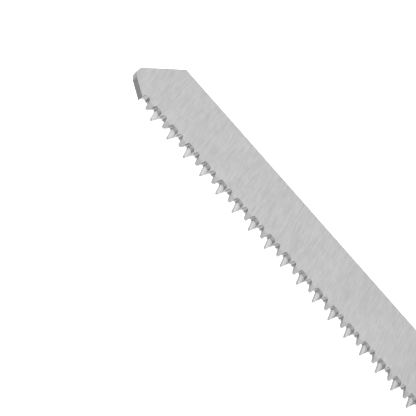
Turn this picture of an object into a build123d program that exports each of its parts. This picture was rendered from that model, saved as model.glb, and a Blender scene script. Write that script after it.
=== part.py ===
"""Jab-type hand saw with a removable straight blade held by a knurled clamp screw.

The saw lies on its side: +X runs from the nose of the blade to the butt of the handle,
+Y is the smooth back of the blade, -Y the teeth, +Z is up through the blade's thickness.
All sizes are millimetres.
"""
import os
from math import cos, radians, sin, sqrt, tan

from build123d import *

os.makedirs("parts", exist_ok=True)

# ---------------------------------------------------------------- blade sizes
free_length = 160.0          # nose of the blade to the front of the bolsters
blade_thickness = 1.85
body_depth = 16.3            # back edge to the bottom of the gullets
tooth_depth = 2.92           # bottom of the gullets to the points
pair_pitch = 5.74            # one tooth bent up and one bent down
plain_length = 8.0           # untoothed blade left in front of the shoulder, at least
point_offset = 2.57          # from an up-bent point to the next down-bent point
first_point = 8.11           # nose to the first point, along the blade
first_gap = 2.84             # open width in front of the first tooth, at its point
flank_angle = 13.5           # sides of a tooth, from straight up
back_flank_angle = 22.0      # the shank side of a down-bent tooth
up_land = 0.68               # blunt width left at the point of an up-bent tooth
down_land = 0.42             # the same for a down-bent tooth
tooth_set = 0.22             # how far a point stands out past the blade's face
point_thickness = 0.80       # thickness left at the point
punch_depth = 0.95           # depth of the mark pressed into the hollow side of a bent tooth
punch_lean = 0.25            # the mark's upper wall leans this far over its depth
punch_rise = 0.00            # top of the mark above the bottom of the gullets
punch_radius = 1.05
punch_shift = -0.42          # the mark's middle from the tooth's point, towards the nose
bend_start = 0.90            # the hollow bend starts this far below the gullet bottoms

nose_radius = 2.85
nose_slope_angle = 57.2      # the sloping nose, from the length of the blade
nose_corner_drop = 13.30     # back edge to the corner that the nose radius rounds off
relief_angle = 35.3          # the cut-away under the nose, from the length of the blade

tang_length = 44.0
tang_depth = 13.4
tang_corner = 2.0

# --------------------------------------------------------------- handle sizes
handle_length = 134.0
bolster_length = 32.0
bolster_height = 31.0
belly_height = 36.0
waist_height = 28.5
butt_height = 37.0
liner_thickness = 1.5
scale_thickness = 10.0
edge_round = 4.5
bolster_round = 2.6

# ------------------------------------------------------------------ clearances
side_gap = 0.30              # blade to each liner, blade to the jaw
slot_gap = 0.30              # tang to each side of its channel
running_gap = 0.05           # turning screw in its bush
slide_gap = 0.30             # jaw to each side of its window
shoulder_gap = 0.30          # blade's shoulder to the bolsters
tang_end_gap = 0.60          # tang to the stop pin
hole_gap = 0.15              # through bolts in their holes

# ------------------------------------------------------------------ clamp sizes
clamp_from_front = 16.0      # front of the bolsters to the clamp screw
screw_diameter = 6.0
collar_diameter = 9.0
collar_height = 1.2
bush_diameter = 9.6
bush_height = 4.6
jaw_length = 15.0
jaw_width = 11.4
jaw_height = 3.8
jaw_pad_height = 0.8
jaw_pad_margin = 1.2
pad_pin_diameter = 1.6
pad_pin_offset = 5.3
screw_end_lift = 0.75        # screw's lower end above the underside of the jaw
knob_diameter = 24.0
knob_height = 10.0
knob_flutes = 16
flute_radius = 1.5
knob_waist = 15.0
knob_waist_height = 2.4
knob_seat_diameter = 5.0
knob_gap = 0.30
knob_pin_diameter = 2.0
knob_cap_diameter = 12.0
knob_cap_height = 1.6
washer_diameter = 16.0
washer_thickness = 0.8

# --------------------------------------------------------------- fastener sizes
bolt_diameter = 5.0
bolt_head_diameter = 11.0
bolt_head_height = 2.4
head_sink = 0.30             # heads sit this far below the wood
nut_sleeve_diameter = 7.0
nut_sleeve_length = 9.0
driver_slot_width = 1.3
driver_slot_depth = 1.1
bolt_fractions = (0.24, 0.49, 0.73)
rivet_diameter = 4.0
rivet_edge = 4.6
stop_pin_diameter = 4.0
dowel_diameter = 3.0
dowel_fractions = (0.30, 0.60)
eyelet_bore = 6.0
eyelet_wall = 1.0
eyelet_flange = 11.0
eyelet_flange_height = 1.0
eyelet_from_butt = 13.0

# --------------------------------------------------------------- derived places
overall = free_length + handle_length
nose_x = -overall / 2
front_x = nose_x + free_length
butt_x = overall / 2
scale_x = front_x + bolster_length
grip_length = butt_x - scale_x

half_blade = blade_thickness / 2
core_half = half_blade + side_gap
liner_top = core_half + liner_thickness
half_thick = liner_top + scale_thickness
mid_z = half_thick

low_drop = 0.53 * butt_height
mid_y = (low_drop - belly_height / 2) / 2
back_y = mid_y + body_depth / 2
gullet_y = back_y - body_depth
point_y = gullet_y - tooth_depth
blade_mid_y = back_y - body_depth / 2
clamp_x = front_x + clamp_from_front
clamp_y = blade_mid_y
eyelet_x = butt_x - eyelet_from_butt


def at_z(height):
    """Level above the floor of a height measured from the middle of the blade."""
    return mid_z + height


def grip_outline():
    """Edges of the grip's outline behind the bolsters: top, butt, underside and front."""
    upper = mid_y + bolster_height / 2
    lower = mid_y - bolster_height / 2
    crown = (scale_x + 0.46 * grip_length, mid_y + belly_height / 2)
    butt_top = (butt_x - 0.16 * grip_length, mid_y + waist_height / 2 + 0.4)
    butt_end = (butt_x, mid_y - 0.14 * butt_height)
    butt_low = (butt_x - 0.12 * grip_length, mid_y - low_drop)
    with BuildLine():
        top_front = Spline((scale_x, upper), crown, tangents=[(1, 0), (1, 0)])
        top_rear = Spline(crown, butt_top, tangents=[(1, 0), (1, -0.42)])
        butt_upper = Spline(butt_top, butt_end, tangents=[(1, -0.42), (0, -1)])
        butt_lower = Spline(butt_end, butt_low, tangents=[(0, -1), (-1, 0)])
        under = Spline(
            butt_low,
            (scale_x + 0.70 * grip_length, mid_y - waist_height / 2 - 0.6),
            (scale_x + 0.42 * grip_length, mid_y - belly_height / 2 + 0.4),
            (scale_x + 0.13 * grip_length, mid_y - waist_height / 2),
            (scale_x, lower),
            tangents=[(-1, 0), (-1, 0)],
        )
        front = Line((scale_x, lower), (scale_x, upper))
    pieces = (top_front, top_rear, butt_upper, butt_lower, under, front)
    return [piece.edge() for piece in pieces]


grip_line = grip_outline()
bolt_spots = [(scale_x + part_way * grip_length, mid_y) for part_way in bolt_fractions]
rivet_spots = [
    (front_x + rivet_edge, mid_y + bolster_height / 2 - rivet_edge),
    (front_x + rivet_edge, mid_y - bolster_height / 2 + rivet_edge),
    (scale_x - rivet_edge, mid_y + bolster_height / 2 - rivet_edge),
    (scale_x - rivet_edge, mid_y - bolster_height / 2 + rivet_edge),
]
stop_pin_x = front_x + tang_length + tang_end_gap + stop_pin_diameter / 2
dowel_spots = [
    (scale_x + dowel_fractions[0] * grip_length, mid_y - 0.36 * belly_height),
    (scale_x + dowel_fractions[1] * grip_length, mid_y + 0.34 * waist_height),
]


# ---------------------------------------------------------------------- blade
first_up = nose_x + first_point
tooth_pairs = int((free_length - first_point - plain_length) / pair_pitch)
up_points = [first_up + pair_pitch * step for step in range(tooth_pairs)]
down_points = [place + point_offset for place in up_points]
shoulder_x = front_x - shoulder_gap

slope_turn = radians(nose_slope_angle)
relief_turn = radians(relief_angle)
half_corner = (slope_turn + relief_turn) / 2
corner_aim = (slope_turn - relief_turn) / 2
nose_corner_x = nose_x - nose_radius * (cos(corner_aim) / sin(half_corner) - 1)
nose_corner_y = back_y - nose_corner_drop
nose_back_x = nose_corner_x + nose_corner_drop / tan(slope_turn)

flank_run = tan(radians(flank_angle))
back_run = tan(radians(back_flank_angle))


def gullet_between(left_x, right_x, left_run, right_run):
    """Middle and radius of the round gullet that touches the two flanks it lies between."""
    left_reach = sqrt(1 + left_run ** 2) - left_run
    right_reach = sqrt(1 + right_run ** 2) - right_run
    room = right_x - left_x - tooth_depth * (left_run + right_run)
    radius = room / (left_reach + right_reach)
    return left_x + tooth_depth * left_run + radius * left_reach, radius


def flank_space(middle, radius, edge_x, run):
    """Half of the open space under a gullet, from its middle out to one flank."""
    side = 1 if edge_x > middle else -1
    lean = sqrt(1 + run ** 2)
    touch_y = gullet_y - radius + radius * run / lean
    return [
        (middle, point_y - 1.0),
        (middle, touch_y),
        (middle + side * radius / lean, touch_y),
        (edge_x, point_y),
        (edge_x, point_y - 1.0),
    ]


up_fronts = [place - up_land / 2 for place in up_points]
up_backs = [place + up_land / 2 for place in up_points]
down_fronts = [place - down_land / 2 for place in down_points]
down_backs = [place + down_land / 2 for place in down_points]
next_up_fronts = up_fronts[1:] + [up_fronts[-1] + pair_pitch]

narrow = [(*gullet_between(left, right, flank_run, flank_run), left, right, flank_run)
          for left, right in zip(up_backs, down_fronts)]
wide = [(*gullet_between(left, right, back_run, flank_run), left, right, back_run)
        for left, right in zip(down_backs, next_up_fronts)]
first_centre_x, first_radius = gullet_between(
    up_fronts[0] - first_gap, up_fronts[0], flank_run, flank_run)
last_centre_x, last_radius = wide[-1][:2]
relief_x = first_centre_x - first_radius
relief_y = nose_corner_y - (relief_x - nose_corner_x) * tan(relief_turn)
tooth_end_x = last_centre_x + last_radius
heel_y = gullet_y - last_radius - 0.5

with BuildPart() as blade:
    with BuildSketch(Plane.XY.offset(at_z(-half_blade))) as body_profile:
        with BuildLine():
            Polyline(
                (nose_back_x, back_y),
                (nose_corner_x, nose_corner_y),
                (relief_x, relief_y),
                (relief_x, gullet_y - first_radius),
                (first_centre_x, gullet_y - first_radius),
                (first_centre_x, point_y),
                (last_centre_x, point_y),
                (last_centre_x, gullet_y - last_radius),
                (tooth_end_x, gullet_y - last_radius),
                (tooth_end_x + 0.6, heel_y),
                (shoulder_x - 1.2, heel_y),
                (shoulder_x, heel_y + 1.2),
                (shoulder_x, blade_mid_y - tang_depth / 2),
                (front_x + tang_length, blade_mid_y - tang_depth / 2),
                (front_x + tang_length, blade_mid_y + tang_depth / 2),
                (shoulder_x, blade_mid_y + tang_depth / 2),
                (shoulder_x, back_y),
                close=True,
            )
        make_face()
        for middle, radius, left, right, left_run in narrow + wide[:-1]:
            for edge_x, run in ((left, left_run), (right, flank_run)):
                with BuildLine():
                    Polyline(*flank_space(middle, radius, edge_x, run), close=True)
                make_face(mode=Mode.SUBTRACT)
            with Locations((middle, gullet_y - radius)):
                Circle(radius, mode=Mode.SUBTRACT)
        with BuildLine():
            Polyline(*flank_space(first_centre_x, first_radius, up_fronts[0], flank_run),
                     close=True)
        make_face(mode=Mode.SUBTRACT)
        with Locations((first_centre_x, gullet_y - first_radius)):
            Circle(first_radius, mode=Mode.SUBTRACT)
        with BuildLine():
            Polyline(*flank_space(last_centre_x, last_radius, down_backs[-1], back_run),
                     close=True)
        make_face(mode=Mode.SUBTRACT)
        with Locations((last_centre_x, gullet_y - last_radius)):
            Circle(last_radius, mode=Mode.SUBTRACT)
    extrude(amount=blade_thickness)
    tang_corners = blade.edges().filter_by(Axis.Z).group_by(Axis.X)[-1]
    fillet(tang_corners, radius=tang_corner)
    nose_corner = blade.edges().filter_by(Axis.Z).sort_by(Axis.X)[:1]
    fillet(nose_corner, radius=nose_radius)
    for side, points, land, rear_run in ((1, down_points, down_land, back_run),
                                         (-1, up_points, up_land, flank_run)):
        floor_top = half_blade - punch_depth
        point_inner = -(half_blade + tooth_set - point_thickness)
        point_outer = -(half_blade + tooth_set)
        mark_top = gullet_y + punch_rise
        with BuildPart(mode=Mode.PRIVATE) as marks:
            with BuildSketch(Plane.XY.offset(at_z(side * (half_blade + 0.01)))):
                for place in points:
                    middle = place + punch_shift
                    with Locations((middle, mark_top - punch_radius)):
                        Circle(punch_radius)
                    with Locations((middle, mark_top - punch_radius - 2.5)):
                        Rectangle(2 * punch_radius, 5.0)
            extrude(amount=3.0, dir=(0, -punch_lean, -side * punch_depth))
            with BuildSketch(Plane.YZ.offset(nose_x)):
                with BuildLine():
                    Polyline(
                        (mark_top + 2.0, at_z(side * 3.0)),
                        (mark_top + 2.0, at_z(side * floor_top)),
                        (mark_top, at_z(side * floor_top)),
                        (point_y, at_z(side * point_inner)),
                        (point_y - 2.0, at_z(side * point_inner)),
                        (point_y - 2.0, at_z(side * 3.0)),
                        close=True,
                    )
                make_face()
            extrude(amount=free_length, mode=Mode.INTERSECT)
        add(marks.part, mode=Mode.SUBTRACT)
        with BuildPart(mode=Mode.PRIVATE) as bends:
            with BuildSketch(Plane.XY.offset(at_z(-3.0))):
                for place in points:
                    rise = tooth_depth - bend_start
                    with BuildLine():
                        Polyline(
                            (place - land / 2 - flank_run * rise, point_y + rise),
                            (place - land / 2, point_y),
                            (place + land / 2, point_y),
                            (place + land / 2 + rear_run * rise, point_y + rise),
                            close=True,
                        )
                    make_face()
            extrude(amount=6.0)
            with BuildSketch(Plane.YZ.offset(nose_x)):
                slope = (point_inner - floor_top) / (point_y - mark_top)
                bend_y = gullet_y - bend_start
                with BuildLine():
                    Polyline(
                        (bend_y, at_z(side * (floor_top + slope * (bend_y - mark_top)))),
                        (point_y, at_z(side * point_inner)),
                        (point_y, at_z(side * point_outer)),
                        (bend_y, at_z(-side * half_blade)),
                        close=True,
                    )
                make_face()
            extrude(amount=free_length, mode=Mode.INTERSECT)
        add(bends.part)
blade.part.label = "blade"
export_step(blade.part, "parts/blade.step")


# --------------------------------------------------------------------- liners
window_length = jaw_length + 2 * slide_gap
window_width = jaw_width + 2 * slide_gap

with BuildPart() as liner_lower:
    with BuildSketch(Plane.XY.offset(at_z(-liner_top))):
        make_face(grip_line)
        with Locations(((front_x + scale_x) / 2, mid_y)):
            Rectangle(bolster_length, bolster_height)
        with Locations(*bolt_spots):
            Circle(nut_sleeve_diameter / 2 + hole_gap, mode=Mode.SUBTRACT)
        with Locations(*rivet_spots):
            Circle(rivet_diameter / 2, mode=Mode.SUBTRACT)
        with Locations(*dowel_spots):
            Circle(dowel_diameter / 2, mode=Mode.SUBTRACT)
        with Locations((stop_pin_x, blade_mid_y)):
            Circle(stop_pin_diameter / 2, mode=Mode.SUBTRACT)
        with Locations((eyelet_x, mid_y)):
            Circle(eyelet_bore / 2 + eyelet_wall, mode=Mode.SUBTRACT)
    extrude(amount=liner_thickness)
liner_lower.part.label = "liner_lower"
export_step(liner_lower.part, "parts/liner_lower.step")

with BuildPart() as liner_upper:
    with BuildSketch(Plane.XY.offset(at_z(core_half))):
        make_face(grip_line)
        with Locations(((front_x + scale_x) / 2, mid_y)):
            Rectangle(bolster_length, bolster_height)
        with Locations(*bolt_spots):
            Circle(nut_sleeve_diameter / 2 + hole_gap, mode=Mode.SUBTRACT)
        with Locations(*rivet_spots):
            Circle(rivet_diameter / 2, mode=Mode.SUBTRACT)
        with Locations(*dowel_spots):
            Circle(dowel_diameter / 2, mode=Mode.SUBTRACT)
        with Locations((stop_pin_x, blade_mid_y)):
            Circle(stop_pin_diameter / 2, mode=Mode.SUBTRACT)
        with Locations((eyelet_x, mid_y)):
            Circle(eyelet_bore / 2 + eyelet_wall, mode=Mode.SUBTRACT)
        with Locations((clamp_x, clamp_y)):
            Rectangle(window_length, window_width, mode=Mode.SUBTRACT)
    extrude(amount=liner_thickness)
liner_upper.part.label = "liner_upper"
export_step(liner_upper.part, "parts/liner_upper.step")

# ------------------------------------------- spacer that makes the blade channel
channel_length = tang_length + tang_end_gap + stop_pin_diameter + 1.0
channel_depth = tang_depth + 2 * slot_gap
with BuildPart() as spacer:
    with BuildSketch(Plane.XY.offset(at_z(-core_half))):
        make_face(grip_line)
        with Locations(((front_x + scale_x) / 2, mid_y)):
            Rectangle(bolster_length, bolster_height)
        with Locations((front_x + channel_length / 2, blade_mid_y)):
            Rectangle(channel_length, channel_depth, mode=Mode.SUBTRACT)
        with Locations(*bolt_spots):
            Circle(nut_sleeve_diameter / 2 + hole_gap, mode=Mode.SUBTRACT)
        with Locations(*rivet_spots):
            Circle(rivet_diameter / 2, mode=Mode.SUBTRACT)
        with Locations(*dowel_spots):
            Circle(dowel_diameter / 2, mode=Mode.SUBTRACT)
        with Locations((eyelet_x, mid_y)):
            Circle(eyelet_bore / 2 + eyelet_wall, mode=Mode.SUBTRACT)
    extrude(amount=2 * core_half)
spacer.part.label = "spacer"
export_step(spacer.part, "parts/spacer.step")

# ---------------------------------------------------------------- wooden scales
with BuildPart() as scale_upper:
    with BuildSketch(Plane.XY.offset(at_z(liner_top))):
        make_face(grip_line)
    extrude(amount=scale_thickness)
    upper_rim = scale_upper.faces().sort_by(Axis.Z)[-1].edges().sort_by(Axis.X)[1:]
    fillet(upper_rim, radius=edge_round)
    with Locations(*[(x, y, at_z(half_thick)) for x, y in bolt_spots]):
        Cylinder(bolt_head_diameter / 2 + hole_gap, bolt_head_height + head_sink,
                 align=(Align.CENTER, Align.CENTER, Align.MAX), mode=Mode.SUBTRACT)
        Cylinder(bolt_diameter / 2 + hole_gap, scale_thickness,
                 align=(Align.CENTER, Align.CENTER, Align.MAX), mode=Mode.SUBTRACT)
    with Locations((eyelet_x, mid_y, at_z(half_thick))):
        Cylinder(eyelet_flange / 2, eyelet_flange_height,
                 align=(Align.CENTER, Align.CENTER, Align.MAX), mode=Mode.SUBTRACT)
        Cylinder(eyelet_bore / 2 + eyelet_wall, scale_thickness,
                 align=(Align.CENTER, Align.CENTER, Align.MAX), mode=Mode.SUBTRACT)
scale_upper.part.label = "scale_upper"
export_step(scale_upper.part, "parts/scale_upper.step")

with BuildPart() as scale_lower:
    with BuildSketch(Plane.XY.offset(at_z(-half_thick))):
        make_face(grip_line)
    extrude(amount=scale_thickness)
    lower_rim = scale_lower.faces().sort_by(Axis.Z)[0].edges().sort_by(Axis.X)[1:]
    fillet(lower_rim, radius=edge_round)
    with Locations(*[(x, y, at_z(-half_thick)) for x, y in bolt_spots]):
        Cylinder(bolt_head_diameter / 2 + hole_gap, bolt_head_height + head_sink,
                 align=(Align.CENTER, Align.CENTER, Align.MIN), mode=Mode.SUBTRACT)
        Cylinder(nut_sleeve_diameter / 2 + hole_gap, scale_thickness,
                 align=(Align.CENTER, Align.CENTER, Align.MIN), mode=Mode.SUBTRACT)
    with Locations((eyelet_x, mid_y, at_z(-half_thick))):
        Cylinder(eyelet_flange / 2, eyelet_flange_height,
                 align=(Align.CENTER, Align.CENTER, Align.MIN), mode=Mode.SUBTRACT)
        Cylinder(eyelet_bore / 2 + eyelet_wall, scale_thickness,
                 align=(Align.CENTER, Align.CENTER, Align.MIN), mode=Mode.SUBTRACT)
scale_lower.part.label = "scale_lower"
export_step(scale_lower.part, "parts/scale_lower.step")

# --------------------------------------------------------------- metal bolsters
bolster_mid_x = (front_x + scale_x) / 2
bush_low = half_thick - bush_height
pocket_top = bush_low

with BuildPart() as bolster_upper:
    with BuildSketch(Plane.XY.offset(at_z(liner_top))):
        with Locations((bolster_mid_x, mid_y)):
            Rectangle(bolster_length, bolster_height)
    extrude(amount=scale_thickness)
    upper_edges = bolster_upper.faces().sort_by(Axis.Z)[-1].edges().sort_by(Axis.X)[:-1]
    fillet(upper_edges, radius=bolster_round)
    with Locations((clamp_x, clamp_y, at_z(liner_top))):
        Box(window_length, window_width, pocket_top - liner_top,
            align=(Align.CENTER, Align.CENTER, Align.MIN), mode=Mode.SUBTRACT)
        Cylinder(bush_diameter / 2, scale_thickness,
                 align=(Align.CENTER, Align.CENTER, Align.MIN), mode=Mode.SUBTRACT)
    with Locations(*[(x, y, at_z(liner_top)) for x, y in rivet_spots]):
        Cylinder(rivet_diameter / 2, scale_thickness,
                 align=(Align.CENTER, Align.CENTER, Align.MIN), mode=Mode.SUBTRACT)
bolster_upper.part.label = "bolster_upper"
export_step(bolster_upper.part, "parts/bolster_upper.step")

with BuildPart() as bolster_lower:
    with BuildSketch(Plane.XY.offset(at_z(-half_thick))):
        with Locations((bolster_mid_x, mid_y)):
            Rectangle(bolster_length, bolster_height)
    extrude(amount=scale_thickness)
    lower_edges = bolster_lower.faces().sort_by(Axis.Z)[0].edges().sort_by(Axis.X)[:-1]
    fillet(lower_edges, radius=bolster_round)
    with Locations(*[(x, y, at_z(-half_thick)) for x, y in rivet_spots]):
        Cylinder(rivet_diameter / 2, scale_thickness,
                 align=(Align.CENTER, Align.CENTER, Align.MIN), mode=Mode.SUBTRACT)
bolster_lower.part.label = "bolster_lower"
export_step(bolster_lower.part, "parts/bolster_lower.step")

# ------------------------------------------------------------------- fasteners
bolt_gap = 0.05
bolt_top = half_thick - head_sink
bolt_end = -(half_thick - head_sink - bolt_head_height) + 0.4
nut_base = -(half_thick - head_sink)

with BuildPart() as handle_bolts:
    with Locations(*[(x, y, at_z(bolt_top)) for x, y in bolt_spots]):
        Cylinder(bolt_head_diameter / 2, bolt_head_height,
                 align=(Align.CENTER, Align.CENTER, Align.MAX))
        Cylinder(bolt_diameter / 2, bolt_top - bolt_end,
                 align=(Align.CENTER, Align.CENTER, Align.MAX))
    head_rims = handle_bolts.edges().filter_by(GeomType.CIRCLE).group_by(Axis.Z)[-1]
    fillet(head_rims, radius=0.5)
    with Locations(*[(x, y, at_z(bolt_top)) for x, y in bolt_spots]):
        Box(bolt_head_diameter + 1, driver_slot_width, driver_slot_depth,
            align=(Align.CENTER, Align.CENTER, Align.MAX), mode=Mode.SUBTRACT)
handle_bolts.part.label = "handle_bolts"
export_step(handle_bolts.part, "parts/handle_bolts.step")

with BuildPart() as handle_nuts:
    with Locations(*[(x, y, at_z(nut_base)) for x, y in bolt_spots]):
        Cylinder(bolt_head_diameter / 2, bolt_head_height,
                 align=(Align.CENTER, Align.CENTER, Align.MIN))
        Cylinder(nut_sleeve_diameter / 2, bolt_head_height + nut_sleeve_length,
                 align=(Align.CENTER, Align.CENTER, Align.MIN))
    nut_rims = handle_nuts.edges().filter_by(GeomType.CIRCLE).group_by(Axis.Z)[0]
    fillet(nut_rims, radius=0.5)
    with Locations(*[(x, y, at_z(nut_base + bolt_head_height)) for x, y in bolt_spots]):
        Cylinder(bolt_diameter / 2 + bolt_gap, nut_sleeve_length,
                 align=(Align.CENTER, Align.CENTER, Align.MIN), mode=Mode.SUBTRACT)
    with Locations(*[(x, y, at_z(nut_base)) for x, y in bolt_spots]):
        Box(bolt_head_diameter + 1, driver_slot_width, driver_slot_depth,
            align=(Align.CENTER, Align.CENTER, Align.MIN), mode=Mode.SUBTRACT)
handle_nuts.part.label = "handle_nuts"
export_step(handle_nuts.part, "parts/handle_nuts.step")

with BuildPart() as bolster_rivets:
    with Locations(*[(x, y, at_z(-half_thick)) for x, y in rivet_spots]):
        Cylinder(rivet_diameter / 2, 2 * half_thick,
                 align=(Align.CENTER, Align.CENTER, Align.MIN))
bolster_rivets.part.label = "bolster_rivets"
export_step(bolster_rivets.part, "parts/bolster_rivets.step")

with BuildPart() as stop_pin:
    with Locations((stop_pin_x, blade_mid_y, at_z(-liner_top))):
        Cylinder(stop_pin_diameter / 2, 2 * liner_top,
                 align=(Align.CENTER, Align.CENTER, Align.MIN))
stop_pin.part.label = "stop_pin"
export_step(stop_pin.part, "parts/stop_pin.step")

with BuildPart() as dowel_pins:
    with Locations(*[(x, y, at_z(-liner_top)) for x, y in dowel_spots]):
        Cylinder(dowel_diameter / 2, 2 * liner_top,
                 align=(Align.CENTER, Align.CENTER, Align.MIN))
dowel_pins.part.label = "dowel_pins"
export_step(dowel_pins.part, "parts/dowel_pins.step")

with BuildPart() as hang_eyelet:
    with Locations((eyelet_x, mid_y, at_z(-half_thick))):
        Cylinder(eyelet_bore / 2 + eyelet_wall, 2 * half_thick,
                 align=(Align.CENTER, Align.CENTER, Align.MIN))
        Cylinder(eyelet_flange / 2, eyelet_flange_height,
                 align=(Align.CENTER, Align.CENTER, Align.MIN))
    with Locations((eyelet_x, mid_y, at_z(half_thick))):
        Cylinder(eyelet_flange / 2, eyelet_flange_height,
                 align=(Align.CENTER, Align.CENTER, Align.MAX))
    with Locations((eyelet_x, mid_y, at_z(-half_thick))):
        Cylinder(eyelet_bore / 2, 2 * half_thick,
                 align=(Align.CENTER, Align.CENTER, Align.MIN), mode=Mode.SUBTRACT)
hang_eyelet.part.label = "hang_eyelet"
export_step(hang_eyelet.part, "parts/hang_eyelet.step")

# ------------------------------------------------------------------ the clamp
bush_bore = screw_diameter / 2 + running_gap
collar_top = bush_low - knob_gap
screw_low = core_half + screw_end_lift
washer_low = half_thick
knob_low = washer_low + washer_thickness + knob_gap
knob_top = knob_low + knob_height
cap_low = knob_top - knob_cap_height
screw_top = cap_low - 0.3

with BuildPart() as clamp_bush:
    with Locations((clamp_x, clamp_y, at_z(bush_low))):
        Cylinder(bush_diameter / 2, bush_height,
                 align=(Align.CENTER, Align.CENTER, Align.MIN))
        Cylinder(bush_bore, bush_height,
                 align=(Align.CENTER, Align.CENTER, Align.MIN), mode=Mode.SUBTRACT)
clamp_bush.part.label = "clamp_bush"
export_step(clamp_bush.part, "parts/clamp_bush.step")

with BuildPart() as thrust_washer:
    with Locations((clamp_x, clamp_y, at_z(washer_low))):
        Cylinder(washer_diameter / 2, washer_thickness,
                 align=(Align.CENTER, Align.CENTER, Align.MIN))
        Cylinder(screw_diameter / 2 + slide_gap, washer_thickness,
                 align=(Align.CENTER, Align.CENTER, Align.MIN), mode=Mode.SUBTRACT)
thrust_washer.part.label = "thrust_washer"
export_step(thrust_washer.part, "parts/thrust_washer.step")

with BuildPart() as clamp_screw:
    with Locations((clamp_x, clamp_y, at_z(screw_low))):
        Cylinder(screw_diameter / 2, knob_low - screw_low,
                 align=(Align.CENTER, Align.CENTER, Align.MIN))
    with Locations((clamp_x, clamp_y, at_z(collar_top - collar_height))):
        Cylinder(collar_diameter / 2, collar_height,
                 align=(Align.CENTER, Align.CENTER, Align.MIN))
    with Locations((clamp_x, clamp_y, at_z(knob_low))):
        Cylinder(knob_seat_diameter / 2, screw_top - knob_low,
                 align=(Align.CENTER, Align.CENTER, Align.MIN))
    with Locations((clamp_x, clamp_y, at_z(knob_low + knob_waist_height / 2 + 0.2))):
        Cylinder(knob_pin_diameter / 2, 2 * knob_seat_diameter,
                 rotation=(90, 0, 0), mode=Mode.SUBTRACT)
clamp_screw.part.label = "clamp_screw"
export_step(clamp_screw.part, "parts/clamp_screw.step")

with BuildPart() as clamp_knob:
    with Locations((clamp_x, clamp_y, at_z(knob_low))):
        Cylinder(knob_waist / 2, knob_height,
                 align=(Align.CENTER, Align.CENTER, Align.MIN))
    with Locations((clamp_x, clamp_y, at_z(knob_low + knob_waist_height))):
        Cylinder(knob_diameter / 2, knob_height - knob_waist_height,
                 align=(Align.CENTER, Align.CENTER, Align.MIN))
    knob_rims = clamp_knob.edges().filter_by(GeomType.CIRCLE).group_by(Axis.Z)
    fillet(knob_rims[-1], radius=1.2)
    chamfer(clamp_knob.edges().filter_by(GeomType.CIRCLE).group_by(Axis.Z)[1]
            .sort_by(SortBy.RADIUS)[-1:], length=0.6)
    with Locations((clamp_x, clamp_y, at_z(knob_low))):
        with PolarLocations(knob_diameter / 2 + flute_radius * 0.45, knob_flutes):
            Cylinder(flute_radius, knob_height,
                     align=(Align.CENTER, Align.CENTER, Align.MIN), mode=Mode.SUBTRACT)
        Cylinder(knob_seat_diameter / 2, knob_height,
                 align=(Align.CENTER, Align.CENTER, Align.MIN), mode=Mode.SUBTRACT)
    with Locations((clamp_x, clamp_y, at_z(cap_low))):
        Cylinder(knob_cap_diameter / 2, knob_cap_height,
                 align=(Align.CENTER, Align.CENTER, Align.MIN), mode=Mode.SUBTRACT)
    with Locations((clamp_x, clamp_y, at_z(knob_low + knob_waist_height / 2 + 0.2))):
        Cylinder(knob_pin_diameter / 2, knob_waist + 1.0,
                 rotation=(90, 0, 0), mode=Mode.SUBTRACT)
clamp_knob.part.label = "clamp_knob"
export_step(clamp_knob.part, "parts/clamp_knob.step")

with BuildPart() as knob_pin:
    with Locations((clamp_x, clamp_y, at_z(knob_low + knob_waist_height / 2 + 0.2))):
        Cylinder(knob_pin_diameter / 2, knob_waist - 1.0, rotation=(90, 0, 0))
knob_pin.part.label = "knob_pin"
export_step(knob_pin.part, "parts/knob_pin.step")

with BuildPart() as knob_cap:
    with Locations((clamp_x, clamp_y, at_z(cap_low))):
        Cylinder(knob_cap_diameter / 2, knob_cap_height,
                 align=(Align.CENTER, Align.CENTER, Align.MIN))
    fillet(knob_cap.edges().group_by(Axis.Z)[-1], radius=0.4)
knob_cap.part.label = "knob_cap"
export_step(knob_cap.part, "parts/knob_cap.step")

pad_pin_spots = [(clamp_x - pad_pin_offset, clamp_y), (clamp_x + pad_pin_offset, clamp_y)]
with BuildPart() as clamp_jaw:
    with Locations((clamp_x, clamp_y, at_z(core_half + jaw_pad_height))):
        Box(jaw_length, jaw_width, jaw_height - jaw_pad_height,
            align=(Align.CENTER, Align.CENTER, Align.MIN))
    fillet(clamp_jaw.edges().filter_by(Axis.Z), radius=0.8)
    with Locations((clamp_x, clamp_y, at_z(core_half))):
        Cylinder(bush_bore, 2 * jaw_height,
                 align=(Align.CENTER, Align.CENTER, Align.MIN), mode=Mode.SUBTRACT)
    with Locations(*[(x, y, at_z(core_half)) for x, y in pad_pin_spots]):
        Cylinder(pad_pin_diameter / 2, jaw_height,
                 align=(Align.CENTER, Align.CENTER, Align.MIN), mode=Mode.SUBTRACT)
clamp_jaw.part.label = "clamp_jaw"
export_step(clamp_jaw.part, "parts/clamp_jaw.step")

with BuildPart() as jaw_pad:
    with Locations((clamp_x, clamp_y, at_z(core_half))):
        Box(jaw_length, jaw_width, jaw_pad_height,
            align=(Align.CENTER, Align.CENTER, Align.MIN))
    fillet(jaw_pad.edges().filter_by(Axis.Z), radius=0.8)
    with Locations((clamp_x, clamp_y, at_z(core_half))):
        Cylinder(bush_bore, jaw_pad_height,
                 align=(Align.CENTER, Align.CENTER, Align.MIN), mode=Mode.SUBTRACT)
    with Locations(*[(x, y, at_z(core_half)) for x, y in pad_pin_spots]):
        Cylinder(pad_pin_diameter / 2, jaw_pad_height,
                 align=(Align.CENTER, Align.CENTER, Align.MIN), mode=Mode.SUBTRACT)
jaw_pad.part.label = "jaw_pad"
export_step(jaw_pad.part, "parts/jaw_pad.step")

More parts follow.
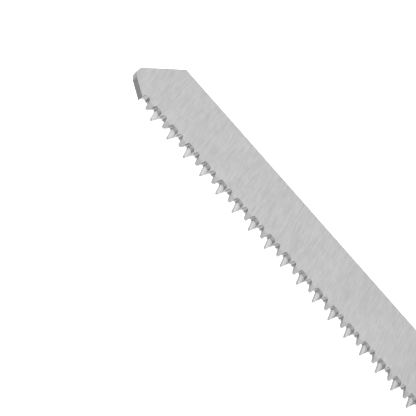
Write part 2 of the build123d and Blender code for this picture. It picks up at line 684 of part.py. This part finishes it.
with BuildPart() as pad_rivets:
    with Locations(*[(x, y, at_z(core_half + 0.1)) for x, y in pad_pin_spots]):
        Cylinder(pad_pin_diameter / 2, jaw_height - 0.1,
                 align=(Align.CENTER, Align.CENTER, Align.MIN))
pad_rivets.part.label = "pad_rivets"
export_step(pad_rivets.part, "parts/pad_rivets.step")
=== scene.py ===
"""Looks, light and camera for the jab saw. Metres, in the row's own frame."""
import math

import bmesh
import bpy
from mathutils import Matrix, Vector

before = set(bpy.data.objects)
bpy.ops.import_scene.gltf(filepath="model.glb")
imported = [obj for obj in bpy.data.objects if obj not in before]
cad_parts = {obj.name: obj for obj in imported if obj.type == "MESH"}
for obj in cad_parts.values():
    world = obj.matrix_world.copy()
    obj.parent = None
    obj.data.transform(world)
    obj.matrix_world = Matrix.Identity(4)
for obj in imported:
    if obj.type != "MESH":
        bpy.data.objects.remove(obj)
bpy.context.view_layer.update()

# ------------------------------------------------------------------ camera choice
CAMERA_FROM = Vector((-0.1401, -0.2094, 0.20435))
CAMERA_TARGET = Vector((-0.11265, -0.01642, 0.01285))
CAMERA_ROLL = 53.9                # degrees about the line of sight
LENS = 103.0                      # millimetres
SENSOR = 36.0

# ------------------------------------------------------------------- light choices
ROOM_LIGHT = 0.77
TOP_LIGHT = 0.90                  # added overhead
TOP_EDGE = 0.62                   # cosine at which the overhead light starts
SIDE_LIGHT = 0.25                 # added low on the handle side
SIDE_TOWARD = (0.70, 0.0, -0.70)
SIDE_EDGE = 0.3
WALL_SHADE = 0.76                 # taken away low on the nose side
WALL_TOWARD = (-0.58, -0.43, -0.70)
WALL_EDGE = 0.92

FLOOR_HALF = 6.0
FLOOR_GLOW = 0.95

# ------------------------------------------------------------------ texture choices
CLOUD_SCALE = 90.0                # soft blotches in the metals, per metre
SPECK_SCALE = 620.0               # small dull specks
SPECK_SHARE = 0.20                # how much of a metal's tone the specks make
FIBRE_SCALE = 900.0               # grain of the floor paper
GRAIN_STRETCH = (9.0, 160.0, 160.0)
PORE_STRETCH = (60.0, 1500.0, 1500.0)
BROAD_STRETCH = (14.0, 60.0, 60.0)
BLADE_BRUSH_TURN = math.radians(-5.7)


# ------------------------------------------------------------------ node helpers
class Mix:
    """Small helper that builds one material's node tree."""

    def __init__(self, name):
        self.material = bpy.data.materials.new(name)
        self.material.use_nodes = True
        self.tree = self.material.node_tree
        self.tree.nodes.clear()
        self.out = self.add("ShaderNodeOutputMaterial")
        self.shader = self.add("ShaderNodeBsdfPrincipled")
        self.link(self.shader.outputs[0], self.out.inputs["Surface"])
        self.place = self.add("ShaderNodeTexCoord").outputs["Object"]

    def add(self, kind, **settings):
        node = self.tree.nodes.new(kind)
        for key, value in settings.items():
            setattr(node, key, value)
        return node

    def link(self, source, target):
        self.tree.links.new(source, target)

    def turned(self, scale, spin=0.0):
        """Object coordinates spun about Z, then stretched, so streaks follow the spin."""
        first = self.add("ShaderNodeMapping")
        first.inputs["Rotation"].default_value = (0.0, 0.0, spin)
        self.link(self.place, first.inputs["Vector"])
        second = self.add("ShaderNodeMapping")
        second.inputs["Scale"].default_value = scale
        self.link(first.outputs[0], second.inputs["Vector"])
        return second.outputs[0]

    def noise(self, vector, scale, detail, roughness):
        node = self.add("ShaderNodeTexNoise")
        node.inputs["Scale"].default_value = scale
        node.inputs["Detail"].default_value = detail
        node.inputs["Roughness"].default_value = roughness
        self.link(vector, node.inputs["Vector"])
        return node.outputs["Fac"]

    def ramp(self, value, low, high, low_at=0.3, high_at=0.7):
        node = self.add("ShaderNodeMapRange")
        node.inputs["From Min"].default_value = low_at
        node.inputs["From Max"].default_value = high_at
        node.inputs["To Min"].default_value = low
        node.inputs["To Max"].default_value = high
        self.link(value, node.inputs["Value"])
        return node.outputs[0]

    def math(self, operation, first, second):
        node = self.add("ShaderNodeMath", operation=operation)
        for socket, value in zip(node.inputs, (first, second)):
            if isinstance(value, (int, float)):
                socket.default_value = value
            else:
                self.link(value, socket)
        return node.outputs[0]

    def colours(self, value, stops):
        node = self.add("ShaderNodeValToRGB")
        points = node.color_ramp.elements
        while len(points) < len(stops):
            points.new(0.5)
        for point, (at, colour) in zip(points, stops):
            point.position = at
            point.color = (*colour, 1.0)
        self.link(value, node.inputs[0])
        return node.outputs[0]

    def bump(self, height, strength, distance):
        node = self.add("ShaderNodeBump")
        node.inputs["Strength"].default_value = strength
        node.inputs["Distance"].default_value = distance
        self.link(height, node.inputs["Height"])
        self.link(node.outputs[0], self.shader.inputs["Normal"])


def brushed(name, dark, light, rough, spin, stretch, bump, wear, clouding=0.30):
    """Metal with fine straight scratches, soft blotches and small dull specks."""
    mix = Mix(name)
    fine = mix.noise(mix.turned(stretch, spin), 1.0, 3.0, 0.55)
    cloud = mix.noise(mix.place, CLOUD_SCALE, 4.0, 0.6)
    specks = mix.noise(mix.place, SPECK_SCALE, 2.0, 0.5)
    tone = mix.math("ADD", mix.math("MULTIPLY", fine, 1.0 - SPECK_SHARE - clouding),
                    mix.math("MULTIPLY", cloud, clouding))
    tone = mix.math("ADD", tone, mix.math("MULTIPLY", specks, SPECK_SHARE))
    mix.link(mix.colours(tone, [(0.36, dark), (0.64, light)]), mix.shader.inputs["Base Color"])
    mix.shader.inputs["Metallic"].default_value = 1.0
    worn = mix.ramp(cloud, rough - wear, rough + wear)
    mix.link(mix.math("ADD", worn, mix.ramp(fine, -0.04, 0.04)), mix.shader.inputs["Roughness"])
    mix.bump(mix.math("ADD", fine, mix.math("MULTIPLY", specks, 0.4)), bump, 0.00005)
    return mix.material


def timber(name, dark, mid, light):
    """Oiled hardwood with long grain, broad bands and dark pores."""
    mix = Mix(name)
    grain = mix.noise(mix.turned(GRAIN_STRETCH), 1.0, 6.0, 0.65)
    pores = mix.noise(mix.turned(PORE_STRETCH), 1.0, 3.0, 0.6)
    broad = mix.noise(mix.turned(BROAD_STRETCH), 1.0, 3.0, 0.5)
    tone = mix.math("ADD", mix.math("MULTIPLY", grain, 0.6), mix.math("MULTIPLY", broad, 0.4))
    colour = mix.colours(tone, [(0.34, dark), (0.50, mid), (0.66, light)])
    pits = mix.colours(pores, [(0.34, (0.35, 0.35, 0.35)), (0.46, (1.0, 1.0, 1.0))])
    # the colour sockets of a Mix node share their names with its float ones, so they go by number
    blend = mix.add("ShaderNodeMix", data_type="RGBA", blend_type="MULTIPLY")
    blend.inputs[0].default_value = 0.55
    mix.link(colour, blend.inputs[6])
    mix.link(pits, blend.inputs[7])
    mix.link(blend.outputs[2], mix.shader.inputs["Base Color"])
    mix.link(mix.ramp(grain, 0.34, 0.52), mix.shader.inputs["Roughness"])
    mix.shader.inputs["Coat Weight"].default_value = 0.15
    mix.shader.inputs["Coat Roughness"].default_value = 0.3
    mix.bump(mix.math("ADD", grain, pores), 0.22, 0.0002)
    return mix.material


blade_steel = brushed("blade_steel", (0.525, 0.525, 0.53), (0.64, 0.64, 0.645), 0.36,
                      BLADE_BRUSH_TURN, (4200.0, 260.0, 400.0), 0.14, 0.03, 0.10)
sheet_steel = brushed("sheet_steel", (0.40, 0.405, 0.41), (0.55, 0.555, 0.56), 0.38,
                      0.0, (70.0, 1700.0, 1700.0), 0.2, 0.06)
dark_steel = brushed("dark_steel", (0.24, 0.245, 0.25), (0.40, 0.405, 0.41), 0.34,
                     0.0, (900.0, 900.0, 2400.0), 0.15, 0.07)
brass = brushed("brass", (0.58, 0.40, 0.16), (0.74, 0.55, 0.26), 0.30,
                0.0, (60.0, 1500.0, 900.0), 0.18, 0.07)
wood = timber("grip_wood", (0.085, 0.036, 0.016), (0.20, 0.092, 0.042), (0.33, 0.17, 0.085))

LOOKS = {
    "blade": blade_steel,
    "liner_lower": sheet_steel, "liner_upper": sheet_steel, "spacer": sheet_steel,
    "scale_lower": wood, "scale_upper": wood,
    "bolster_lower": brass, "bolster_upper": brass,
    "handle_bolts": brass, "handle_nuts": brass, "hang_eyelet": brass,
    "clamp_bush": brass, "knob_cap": brass, "jaw_pad": brass,
    "bolster_rivets": dark_steel, "stop_pin": dark_steel, "dowel_pins": dark_steel,
    "thrust_washer": dark_steel, "clamp_screw": dark_steel, "clamp_knob": dark_steel,
    "knob_pin": dark_steel, "clamp_jaw": dark_steel, "pad_rivets": dark_steel,
}


def dress(thing, material):
    thing.data.materials.clear()
    thing.data.materials.append(material)


for node_name, material in LOOKS.items():
    dress(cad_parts[node_name], material)


# ------------------------------------------------------------------ floor and light
def floor_plane():
    """Pale paper floor that glows evenly and is not seen in the metals."""
    mesh = bpy.data.meshes.new("floor")
    build = bmesh.new()
    corners = [build.verts.new((x * FLOOR_HALF, y * FLOOR_HALF, 0.0))
               for x, y in ((-1, -1), (1, -1), (1, 1), (-1, 1))]
    build.faces.new(corners)
    build.to_mesh(mesh)
    build.free()
    plane = bpy.data.objects.new("floor", mesh)
    bpy.context.collection.objects.link(plane)
    mix = Mix("floor_paper")
    fibre = mix.noise(mix.place, FIBRE_SCALE, 3.0, 0.6)
    mix.link(mix.colours(fibre, [(0.3, (0.93, 0.93, 0.93)), (0.7, (0.97, 0.97, 0.97))]),
             mix.shader.inputs["Base Color"])
    mix.shader.inputs["Roughness"].default_value = 0.9
    mix.shader.inputs["Specular IOR Level"].default_value = 0.1
    mix.shader.inputs["Emission Color"].default_value = (1.0, 1.0, 1.0, 1.0)
    mix.shader.inputs["Emission Strength"].default_value = FLOOR_GLOW
    mesh.materials.append(mix.material)
    plane.visible_glossy = False
    return plane


def studio():
    """A soft white room: brightest overhead, with a darker wall low on the nose side."""
    world = bpy.data.worlds.new("room")
    world.use_nodes = True
    tree = world.node_tree
    tree.nodes.clear()
    out = tree.nodes.new("ShaderNodeOutputWorld")
    sky = tree.nodes.new("ShaderNodeBackground")
    tree.links.new(sky.outputs[0], out.inputs["Surface"])
    direction = tree.nodes.new("ShaderNodeTexCoord").outputs["Generated"]

    def toward(axis, edge, change):
        """Light that eases from nothing at the edge cosine to its full change on the axis."""
        dot = tree.nodes.new("ShaderNodeVectorMath")
        dot.operation = "DOT_PRODUCT"
        dot.inputs[1].default_value = Vector(axis).normalized()
        tree.links.new(direction, dot.inputs[0])
        ease = tree.nodes.new("ShaderNodeMapRange")
        ease.interpolation_type = "SMOOTHSTEP"
        for name, value in (("From Min", edge), ("From Max", 1.0),
                            ("To Min", 0.0), ("To Max", change)):
            ease.inputs[name].default_value = value
        tree.links.new(dot.outputs["Value"], ease.inputs["Value"])
        return ease.outputs[0]

    overhead = toward((0, 0, 1), TOP_EDGE, TOP_LIGHT)
    wall = toward(WALL_TOWARD, WALL_EDGE, -WALL_SHADE)
    side = toward(SIDE_TOWARD, SIDE_EDGE, SIDE_LIGHT)
    total = None
    for part in (overhead, wall, side):
        add = tree.nodes.new("ShaderNodeMath")
        add.operation = "ADD"
        tree.links.new(part, add.inputs[0])
        if total is None:
            add.inputs[1].default_value = ROOM_LIGHT
        else:
            tree.links.new(total, add.inputs[1])
        total = add.outputs[0]
    tree.links.new(total, sky.inputs["Strength"])
    sky.inputs["Color"].default_value = (1.0, 1.0, 1.0, 1.0)
    return world


floor_plane()
bpy.context.scene.world = studio()
bpy.context.scene.view_settings.view_transform = "Standard"


# ------------------------------------------------------------------ camera
def place_camera():
    """A camera that looks from CAMERA_FROM to CAMERA_TARGET, rolled about that line."""
    lens = bpy.data.cameras.new("camera")
    lens.lens = LENS
    lens.sensor_width = SENSOR
    lens.clip_start = 0.005
    lens.clip_end = 50.0
    camera = bpy.data.objects.new("camera", lens)
    bpy.context.collection.objects.link(camera)
    back = (CAMERA_FROM - CAMERA_TARGET).normalized()
    right = Vector((0, 0, 1)).cross(back).normalized()
    up = back.cross(right)
    turn = math.radians(CAMERA_ROLL)
    right_turned = right * math.cos(turn) + up * math.sin(turn)
    up_turned = up * math.cos(turn) - right * math.sin(turn)
    camera.matrix_world = Matrix((
        (right_turned.x, up_turned.x, back.x, CAMERA_FROM.x),
        (right_turned.y, up_turned.y, back.y, CAMERA_FROM.y),
        (right_turned.z, up_turned.z, back.z, CAMERA_FROM.z),
        (0, 0, 0, 1)))
    return camera


bpy.context.scene.camera = place_camera()
